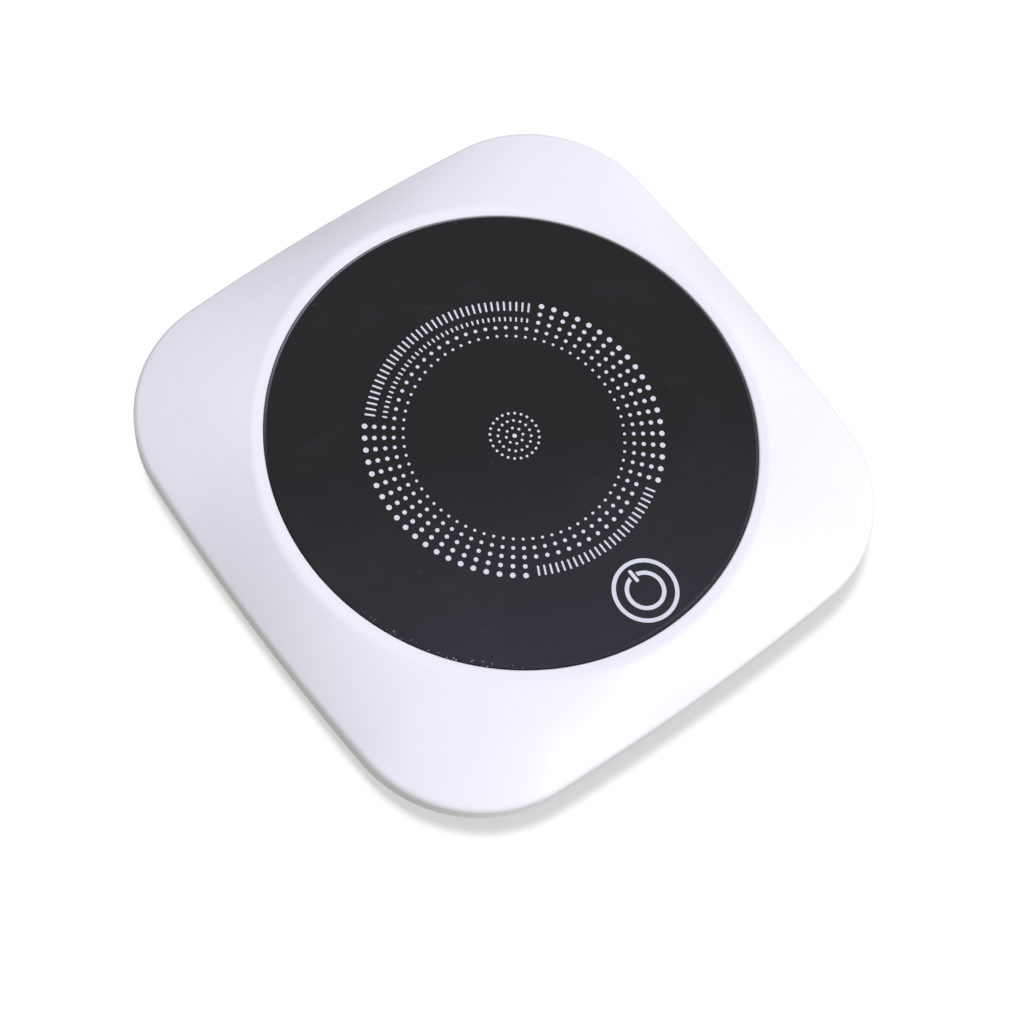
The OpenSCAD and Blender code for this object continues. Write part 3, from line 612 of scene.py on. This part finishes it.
def plastic(name, col, rough=0.4, grain=0.00035, depth=0.000012, spread=0.03, level=0.5, coat=0.0):
    mat, nt, bsdf = node_tree(name)
    v = coords(nt)
    big = noise(nt, v, 28.0, 2.0)
    fine = noise(nt, v, 1.0 / grain, 2.0)
    link(nt, ramp(nt, big, [(0.3, shade(col, 1 - spread)), (0.7, shade(col, 1 + spread * 0.6))]), bsdf.inputs["Base Color"])
    link(nt, remap(nt, fine, 0.3, 0.7, rough - 0.04, rough + 0.05), bsdf.inputs["Roughness"])
    bump(nt, bsdf, fine, depth)
    bsdf.inputs["Specular IOR Level"].default_value = level
    if coat:
        bsdf.inputs["Coat Weight"].default_value = coat
        bsdf.inputs["Coat Roughness"].default_value = 0.2
    return mat


def metal(name, col, rough=0.3, stretch=(1, 1, 1), scale=900.0, spread=0.08, depth=0.000004):
    mat, nt, bsdf = node_tree(name)
    v = coords(nt, stretch)
    g = noise(nt, v, scale, 4.0, 0.6)
    b = noise(nt, coords(nt), 60.0, 3.0)
    link(nt, mix_rgb(nt, remap(nt, b, 0.35, 0.7, 0, 1), shade(col, 1 - spread), shade(col, 1 + spread)), bsdf.inputs["Base Color"])
    link(nt, remap(nt, g, 0.3, 0.7, rough - 0.07, rough + 0.09), bsdf.inputs["Roughness"])
    bump(nt, bsdf, g, depth)
    bsdf.inputs["Metallic"].default_value = 1.0
    return mat


def cover_plastic(name="cover_plastic_satin"):
    """Satin white moulding: a soft lavender cast, faint flow mottling, a very fine texture."""
    mat, nt, bsdf = node_tree(name)
    v = coords(nt)
    flow = noise(nt, coords(nt, (1, 1, 2.5)), 22.0, 3.0, 0.55, 0.4)
    fine = noise(nt, v, 2600.0, 2.0)
    mid = noise(nt, v, 420.0, 2.0)
    col = ramp(nt, flow, [(0.32, (0.815, 0.812, 0.868)), (0.68, (0.845, 0.843, 0.893))])
    link(nt, col, bsdf.inputs["Base Color"])
    r = math_node(nt, "ADD", remap(nt, fine, 0.3, 0.7, 0.27, 0.33), remap(nt, mid, 0.3, 0.7, -0.015, 0.02))
    link(nt, r, bsdf.inputs["Roughness"])
    bump(nt, bsdf, math_node(nt, "ADD", fine, math_node(nt, "MULTIPLY", mid, 0.7)), 0.000004)
    bsdf.inputs["Specular IOR Level"].default_value = 0.5
    bsdf.inputs["Subsurface Weight"].default_value = 0.0
    return mat


def base_plastic(name="base_plastic_matt"):
    """Spark-eroded white moulding, rougher than the cover."""
    mat, nt, bsdf = node_tree(name)
    v = coords(nt)
    flow = noise(nt, v, 18.0, 3.0)
    spark = noise(nt, v, 1500.0, 3.0, 0.6)
    link(nt, ramp(nt, flow, [(0.3, (0.76, 0.76, 0.80)), (0.7, (0.80, 0.80, 0.835))]), bsdf.inputs["Base Color"])
    link(nt, remap(nt, spark, 0.3, 0.7, 0.46, 0.6), bsdf.inputs["Roughness"])
    bump(nt, bsdf, spark, 0.00002)
    return mat


def black_glass(name="black_glass_polished"):
    """Polished glass over a black print: faint smudges and dust, tiny chips by the rim, a painted reflection that
    lightens the near side, and a ground bevel painted lighter on its far side as a highlight.
    """
    mat, nt, bsdf = node_tree(name)
    v = coords(nt)
    sep = nt.nodes.new("ShaderNodeSeparateXYZ")
    link(nt, v, sep.inputs["Vector"])
    x, y = sep.outputs["X"], sep.outputs["Y"]

    def along(deg):
        t = math.radians(deg)
        return math_node(nt, "ADD", math_node(nt, "MULTIPLY", x, math.cos(t)), math_node(nt, "MULTIPLY", y, math.sin(t)))

    rad = math_node(nt, "SQRT", math_node(nt, "ADD", math_node(nt, "MULTIPLY", x, x), math_node(nt, "MULTIPLY", y, y)))
    cloud = noise(nt, v, 45.0, 4.0, 0.6, 0.8)
    wipe = noise(nt, coords(nt, (1.0, 4.0, 1.0)), 90.0, 3.0, 0.6, 0.5)
    speck = noise(nt, v, 1100.0, 1.0)
    smudge = math_node(nt, "MULTIPLY", remap(nt, cloud, 0.5, 0.75, 0, 1), remap(nt, wipe, 0.4, 0.7, 0.2, 1))
    dust = remap(nt, speck, 0.785, 0.83, 0, 1)
    # painted reflection: the black is coloured a little lighter and bluer towards the near side, at 245 degrees
    near_side_reflection = remap(nt, along(245), 0.0, 0.050, 0, 1)
    haze = math_node(nt, "ADD", math_node(nt, "MULTIPLY", smudge, 0.12), math_node(nt, "MULTIPLY", dust, 0.6))
    col = mix_rgb(nt, near_side_reflection, (0.0035, 0.0032, 0.0036), (0.0155, 0.0160, 0.0230))
    col = mix_rgb(nt, haze, col, (0.075, 0.075, 0.09))
    # chips along the near edge
    chip = math_node(nt, "MULTIPLY", remap(nt, noise(nt, v, 1500.0, 2.0, 0.6), 0.64, 0.68, 0, 1), remap(nt, rad, 0.0537, 0.0543, 0, 1))
    chip = math_node(nt, "MULTIPLY", chip, remap(nt, along(216), 0.0505, 0.0525, 0, 1))
    col = mix_rgb(nt, chip, col, (0.42, 0.42, 0.46))
    # bevel: coloured lighter and bluer only on its far side, round 106 degrees; partly the ground bevel's own lighter
    # tone, partly a painted highlight where it catches light
    bevel_tone_and_highlight = math_node(nt, "MULTIPLY", remap(nt, rad, 0.05438, 0.05450, 0, 1), remap(nt, along(106), 0.037, 0.0525, 0.0, 1))
    col = mix_rgb(nt, bevel_tone_and_highlight, col, (0.175, 0.170, 0.225))
    link(nt, col, bsdf.inputs["Base Color"])
    link(nt, remap(nt, smudge, 0, 1, 0.04, 0.11), bsdf.inputs["Roughness"])
    bsdf.inputs["Specular IOR Level"].default_value = 0.34
    return mat


def print_ink(name="print_ink_white"):
    mat, nt, bsdf = node_tree(name)
    v = coords(nt)
    n = noise(nt, v, 3000.0, 2.0)
    link(nt, ramp(nt, n, [(0.3, (0.60, 0.60, 0.68)), (0.7, (0.72, 0.72, 0.80))]), bsdf.inputs["Base Color"])
    link(nt, remap(nt, n, 0.3, 0.7, 0.45, 0.6), bsdf.inputs["Roughness"])
    bump(nt, bsdf, n, 0.000004)
    return mat


def rubber(name, col, rough=0.75):
    mat, nt, bsdf = node_tree(name)
    v = coords(nt)
    n = noise(nt, v, 1800.0, 3.0)
    b = noise(nt, v, 120.0, 3.0)
    link(nt, ramp(nt, b, [(0.3, shade(col, 0.8)), (0.7, shade(col, 1.25))]), bsdf.inputs["Base Color"])
    link(nt, remap(nt, n, 0.3, 0.7, rough - 0.1, rough + 0.1), bsdf.inputs["Roughness"])
    bump(nt, bsdf, n, 0.00002)
    bsdf.inputs["Specular IOR Level"].default_value = 0.35
    return mat


def fibre(name, col):
    mat, nt, bsdf = node_tree(name)
    n = noise(nt, coords(nt, (1, 1, 4)), 700.0, 5.0, 0.7, 1.5)
    link(nt, ramp(nt, n, [(0.3, shade(col, 0.82)), (0.7, shade(col, 1.04))]), bsdf.inputs["Base Color"])
    bsdf.inputs["Roughness"].default_value = 0.95
    bsdf.inputs["Sheen Weight"].default_value = 0.3
    bump(nt, bsdf, n, 0.00018)
    return mat


def flakes(name, col):
    mat, nt, bsdf = node_tree(name)
    vo = nt.nodes.new("ShaderNodeTexVoronoi")
    vo.inputs["Scale"].default_value = 650.0
    link(nt, coords(nt), vo.inputs["Vector"])
    f = nt.nodes.new("ShaderNodeSeparateColor")
    link(nt, vo.outputs["Color"], f.inputs["Color"])
    link(nt, ramp(nt, f.outputs[0], [(0.0, shade(col, 0.78)), (1.0, shade(col, 1.15))]), bsdf.inputs["Base Color"])
    link(nt, remap(nt, f.outputs[1], 0, 1, 0.3, 0.55), bsdf.inputs["Roughness"])
    bump(nt, bsdf, f.outputs[2], 0.00001)
    return mat


def ceramic(name, col, rough=0.5):
    mat, nt, bsdf = node_tree(name)
    v = coords(nt)
    n = noise(nt, v, 1400.0, 4.0, 0.6)
    link(nt, ramp(nt, n, [(0.3, shade(col, 0.93)), (0.7, shade(col, 1.03))]), bsdf.inputs["Base Color"])
    link(nt, remap(nt, n, 0.3, 0.7, rough - 0.08, rough + 0.1), bsdf.inputs["Roughness"])
    bump(nt, bsdf, n, 0.00001)
    return mat


def board(name, col):
    """Solder mask over a fine glass weave, with faint darker track lines."""
    mat, nt, bsdf = node_tree(name)
    w = nt.nodes.new("ShaderNodeTexWave")
    w.inputs["Scale"].default_value = 260.0
    w.inputs["Distortion"].default_value = 6.0
    w.inputs["Detail"].default_value = 1.0
    link(nt, coords(nt), w.inputs["Vector"])
    t = noise(nt, coords(nt, (1, 3, 1)), 150.0, 2.0)
    c = mix_rgb(nt, remap(nt, t, 0.45, 0.55, 0, 1), shade(col, 0.8), shade(col, 1.25))
    link(nt, mix_rgb(nt, remap(nt, w.outputs["Fac"], 0, 1, 0, 0.25), c, shade(col, 1.5)), bsdf.inputs["Base Color"])
    link(nt, remap(nt, t, 0.3, 0.7, 0.25, 0.4), bsdf.inputs["Roughness"])
    bump(nt, bsdf, w.outputs["Fac"], 0.000006)
    return mat


def lead(name, col):
    mat, nt, bsdf = node_tree(name)
    v = coords(nt)
    n = noise(nt, v, 900.0, 3.0)
    link(nt, ramp(nt, n, [(0.3, shade(col, 0.85)), (0.7, shade(col, 1.15))]), bsdf.inputs["Base Color"])
    link(nt, remap(nt, n, 0.3, 0.7, 0.38, 0.55), bsdf.inputs["Roughness"])
    bump(nt, bsdf, n, 0.00001)
    return mat


def two_tone(name, dark, bright, split_z, metal_above=False):
    """A moulded package on tinned leads: below the split height it is tinned metal, above it the package."""
    mat, nt, bsdf = node_tree(name)
    v = coords(nt)
    sep = nt.nodes.new("ShaderNodeSeparateXYZ")
    link(nt, v, sep.inputs["Vector"])
    m = remap(nt, sep.outputs["Z"], split_z - 0.00003, split_z + 0.00003, 1, 0)
    n = noise(nt, v, 1200.0, 3.0)
    d = mix_rgb(nt, n, shade(dark, 0.8), shade(dark, 1.3))
    link(nt, mix_rgb(nt, m, d, bright), bsdf.inputs["Base Color"])
    link(nt, m, bsdf.inputs["Metallic"])
    link(nt, remap(nt, n, 0.3, 0.7, 0.35, 0.6), bsdf.inputs["Roughness"])
    bump(nt, bsdf, n, 0.00001)
    return mat


def acrylic(name, col, rough=0.2):
    mat, nt, bsdf = node_tree(name)
    n = noise(nt, coords(nt), 300.0, 3.0)
    link(nt, ramp(nt, n, [(0.3, shade(col, 0.94)), (0.7, shade(col, 1.03))]), bsdf.inputs["Base Color"])
    link(nt, remap(nt, n, 0.3, 0.7, rough - 0.05, rough + 0.08), bsdf.inputs["Roughness"])
    bsdf.inputs["Subsurface Weight"].default_value = 0.3
    bsdf.inputs["Subsurface Scale"].default_value = 0.002
    bump(nt, bsdf, n, 0.000006)
    return mat


Z_BOARD_TOP = 9.1 * MM
FINISH = {
    "cover_plastic": cover_plastic,
    "base_plastic": base_plastic,
    "black_glass": black_glass,
    "seal_silicone": lambda: rubber("seal_silicone_grey", (0.42, 0.42, 0.44), 0.6),
    "pad_silicone": lambda: rubber("pad_silicone_blue_grey", (0.34, 0.38, 0.44), 0.7),
    "spreader_aluminium": lambda: metal("spreader_aluminium_rolled", (0.80, 0.80, 0.82), 0.34, (1, 14, 1)),
    "mica": lambda: flakes("mica_sheet", (0.55, 0.47, 0.32)),
    "resistance_alloy": lambda: metal("resistance_foil", (0.52, 0.49, 0.45), 0.4, (6, 1, 1)),
    "insulation_felt": lambda: fibre("insulation_felt_white", (0.86, 0.84, 0.78)),
    "zinc_steel": lambda: metal("zinc_steel_sheet", (0.66, 0.67, 0.70), 0.36, (1, 10, 1), 700.0, 0.12),
    "screw_steel": lambda: metal("screw_steel_plated", (0.70, 0.70, 0.71), 0.28, (1, 1, 6), 1400.0, 0.1),
    "phenolic": lambda: plastic("phenolic_brown", (0.10, 0.065, 0.05), 0.4, 0.0003, 0.00001, 0.15),
    "ceramic_white": lambda: ceramic("steatite_white", (0.86, 0.84, 0.79), 0.55),
    "bimetal": lambda: metal("bimetal_rolled", (0.62, 0.55, 0.44), 0.3, (12, 1, 1)),
    "contact_bronze": lambda: metal("contact_bronze_rolled", (0.78, 0.55, 0.28), 0.3, (1, 12, 1)),
    "contact_silver": lambda: metal("contact_silver_rivet", (0.86, 0.86, 0.87), 0.22, (1, 1, 1), 1600.0, 0.05),
    "sensor_epoxy": lambda: plastic("sensor_epoxy_black", (0.05, 0.05, 0.06), 0.3, 0.0003, 0.00001, 0.2),
    "fuse_body": lambda: ceramic("fuse_tube_glazed", (0.72, 0.66, 0.52), 0.25),
    "board_green": lambda: board("board_green_mask", (0.03, 0.18, 0.08)),
    "chip_black": lambda: two_tone("chip_black_package", (0.02, 0.02, 0.022), (0.75, 0.75, 0.77), Z_BOARD_TOP + 0.00028),
    "capacitor_can": lambda: two_tone("capacitor_can_drawn", (0.42, 0.42, 0.44), (0.05, 0.05, 0.05), Z_BOARD_TOP + 0.0009),
    "ferrite": lambda: ceramic("ferrite_grey", (0.10, 0.10, 0.105), 0.6),
    "chip_ceramic": lambda: ceramic("chip_ceramic_tan", (0.42, 0.33, 0.22), 0.45),
    "connector_nylon": lambda: plastic("connector_nylon_white", (0.80, 0.78, 0.71), 0.45, 0.0004, 0.00001, 0.04),
    "spring_steel": lambda: metal("spring_wire_tinned", (0.74, 0.71, 0.62), 0.25, (1, 1, 1), 1800.0, 0.06),
    "guide_acrylic": lambda: acrylic("guide_acrylic_milky", (0.78, 0.82, 0.86)),
    "lamp_epoxy": lambda: acrylic("lamp_epoxy_yellow", (0.85, 0.78, 0.40), 0.25),
    "inlet_plastic": lambda: plastic("inlet_plastic_black", (0.022, 0.022, 0.025), 0.42, 0.0003, 0.00001, 0.2),
    "inlet_plating": lambda: metal("inlet_nickel", (0.80, 0.80, 0.79), 0.18, (1, 8, 1), 1500.0, 0.05),
    "lead_red": lambda: lead("lead_sleeve_red", (0.45, 0.03, 0.02)),
    "lead_blue": lambda: lead("lead_sleeve_blue", (0.02, 0.05, 0.32)),
    "lead_black": lambda: lead("lead_sleeve_black", (0.02, 0.02, 0.022)),
    "lead_brown": lambda: lead("lead_sleeve_brown", (0.12, 0.045, 0.02)),
    "foot_rubber": lambda: rubber("foot_rubber_dark", (0.035, 0.035, 0.037), 0.8),
    "plate_film": lambda: plastic("plate_film_satin", (0.70, 0.70, 0.73), 0.33, 0.0006, 0.000006, 0.02),
}
MATS = {}


def finish_of(slot):
    if slot not in MATS:
        MATS[slot] = FINISH[slot]()
    return MATS[slot]


def dress(obj, mat):
    obj.data.materials.clear()
    obj.data.materials.append(mat)
    obj.data.polygons.foreach_set("material_index", [0] * len(obj.data.polygons))


SLOT_OF = {s["node"]: s["material_slot"] for s in frame["record"]["subparts"]}
for n, o in NODES.items():
    mat = finish_of(SLOT_OF[n])
    if o.material_slots:
        for s in o.material_slots:
            s.material = mat
    else:
        o.data.materials.append(mat)

# ------------------------------------------------------------------ the detailed pieces
top = build_top_cover()
dress(top, finish_of("cover_plastic"))
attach(top, ROOT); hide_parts("top_cover")

bottom = build_bottom_cover()
dress(bottom, finish_of("base_plastic"))
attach(bottom, ROOT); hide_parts("bottom_cover")

glass = build_glass()
dress(glass, finish_of("black_glass"))
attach(glass, ROOT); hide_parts("glass_plate")

ink = print_ink()
for p in build_print():
    dress(p, ink)
    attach(p, ROOT)


# ------------------------------------------------------------------ floor
def build_floor():
    n, r = 96, 1.6
    co = [(0, 0, 0)] + [(r * math.cos(2 * math.pi * i / n), r * math.sin(2 * math.pi * i / n), 0) for i in range(n)]
    me = bpy.data.meshes.new("studio_floor")
    me.from_pydata(co, [], [(0, 1 + i, 1 + (i + 1) % n) for i in range(n)])
    obj = bpy.data.objects.new("studio_floor", me)
    scene.collection.objects.link(obj)
    mat, nt, bsdf = node_tree("studio_floor_paper")
    f = noise(nt, coords(nt), 300.0, 3.0)
    link(nt, ramp(nt, f, [(0.3, (0.495, 0.495, 0.487)), (0.7, (0.505, 0.505, 0.497))]), bsdf.inputs["Base Color"])
    bsdf.inputs["Roughness"].default_value = 0.9
    bsdf.inputs["Specular IOR Level"].default_value = 0.1
    me.materials.append(mat)
    return obj


floor = build_floor()


# ------------------------------------------------------------------ light
def aim(obj, direction):
    """Points a light so that it shines from this direction towards the object."""
    d = Vector(direction).normalized()
    obj.rotation_mode = "QUATERNION"
    obj.rotation_quaternion = d.to_track_quat("Z", "Y")


def sun(name, direction, strength, angle, color=(1, 1, 1), only=None, no_shadow_from=None):
    l = bpy.data.lights.new(name, "SUN")
    l.energy = strength
    l.angle = math.radians(angle)
    l.color = color
    o = bpy.data.objects.new(name, l)
    scene.collection.objects.link(o)
    aim(o, direction)
    if only is not None:
        o.light_linking.receiver_collection = only
    if no_shadow_from is not None:
        o.light_linking.blocker_collection = no_shadow_from
    return o


floor_only = bpy.data.collections.new("floor_only")
floor_only.objects.link(floor)
object_only = bpy.data.collections.new("object_only")
for o in list(scene.objects):
    if o.type == "MESH" and o is not floor:
        object_only.objects.link(o)


def studio():
    # soft key on the object from the photograph's right
    key = sun("key_light", (0.43, -0.68, 0.62), 1.60, 30, (1.0, 0.995, 0.96), only=object_only)
    # the floor: an even base, and a light that draws the soft shadow at the near edges
    base = sun("floor_base", (0, 0, 1), 2.46, 1, only=floor_only, no_shadow_from=floor_only)
    drop = sun("floor_drop", (-0.075, 0.175, 1.0), 2.15, 12, only=floor_only)
    w = bpy.data.worlds.new("studio_world")
    scene.world = w
    w.use_nodes = True
    nt = w.node_tree
    nt.nodes.clear()
    out = nt.nodes.new("ShaderNodeOutputWorld")
    bg = nt.nodes.new("ShaderNodeBackground")
    white = nt.nodes.new("ShaderNodeBackground")
    white.inputs["Color"].default_value = (1, 1, 1, 1)
    white.inputs["Strength"].default_value = 1.0
    mixs = nt.nodes.new("ShaderNodeMixShader")
    lp = nt.nodes.new("ShaderNodeLightPath")
    tc = nt.nodes.new("ShaderNodeTexCoord")
    sep = nt.nodes.new("ShaderNodeSeparateXYZ")
    link(nt, tc.outputs["Generated"], sep.inputs["Vector"])
    # lavender overhead, darker and slightly green below, with a pale band round the horizon, strongest towards +X
    z = remap(nt, sep.outputs["Z"], -0.2, 0.3, 0, 1)
    sky = mix_rgb(nt, z, (0.33, 0.348, 0.315), (0.728, 0.737, 0.808))
    # warmer and a little darker below the horizon towards -X
    warm = math_node(nt, "MULTIPLY", remap(nt, sep.outputs["X"], -0.5, 0.1, 1, 0), remap(nt, sep.outputs["Z"], -0.12, 0.1, 1, 0))
    tint = nt.nodes.new("ShaderNodeVectorMath")
    tint.operation = "MULTIPLY"
    link(nt, sky, tint.inputs[0])
    link(nt, mix_rgb(nt, warm, (1.0, 1.0, 1.0), (0.91, 0.88, 0.58)), tint.inputs[1])
    low = remap(nt, sep.outputs["Z"], -0.3, 0.0, 0, 1)
    high = remap(nt, sep.outputs["Z"], 0.12, 0.5, 1, 0)
    side = math_node(nt, "ADD", math_node(nt, "MULTIPLY", sep.outputs["X"], 0.85), math_node(nt, "MULTIPLY", math_node(nt, "ABSOLUTE", sep.outputs["Y"]), 0.2))
    band = math_node(nt, "MULTIPLY", math_node(nt, "MULTIPLY", low, high), remap(nt, side, -0.2, 0.7, 0.05, 0.38))
    glow = mix_rgb(nt, band, (0.0, 0.0, 0.0), (1.0, 1.0, 0.95))
    add = nt.nodes.new("ShaderNodeVectorMath")
    add.operation = "ADD"
    link(nt, tint.outputs["Vector"], add.inputs[0])
    link(nt, glow, add.inputs[1])
    link(nt, add.outputs["Vector"], bg.inputs["Color"])
    bg.inputs["Strength"].default_value = 1.0
    link(nt, lp.outputs["Is Camera Ray"], mixs.inputs["Fac"])
    link(nt, bg.outputs["Background"], mixs.inputs[1])
    link(nt, white.outputs["Background"], mixs.inputs[2])
    link(nt, mixs.outputs["Shader"], out.inputs["Surface"])


studio()
floor.visible_diffuse = False
floor.visible_glossy = False
scene.view_settings.view_transform = "Standard"
scene.view_settings.look = "None"
scene.view_settings.exposure = 0.0
scene.view_settings.gamma = 1.0
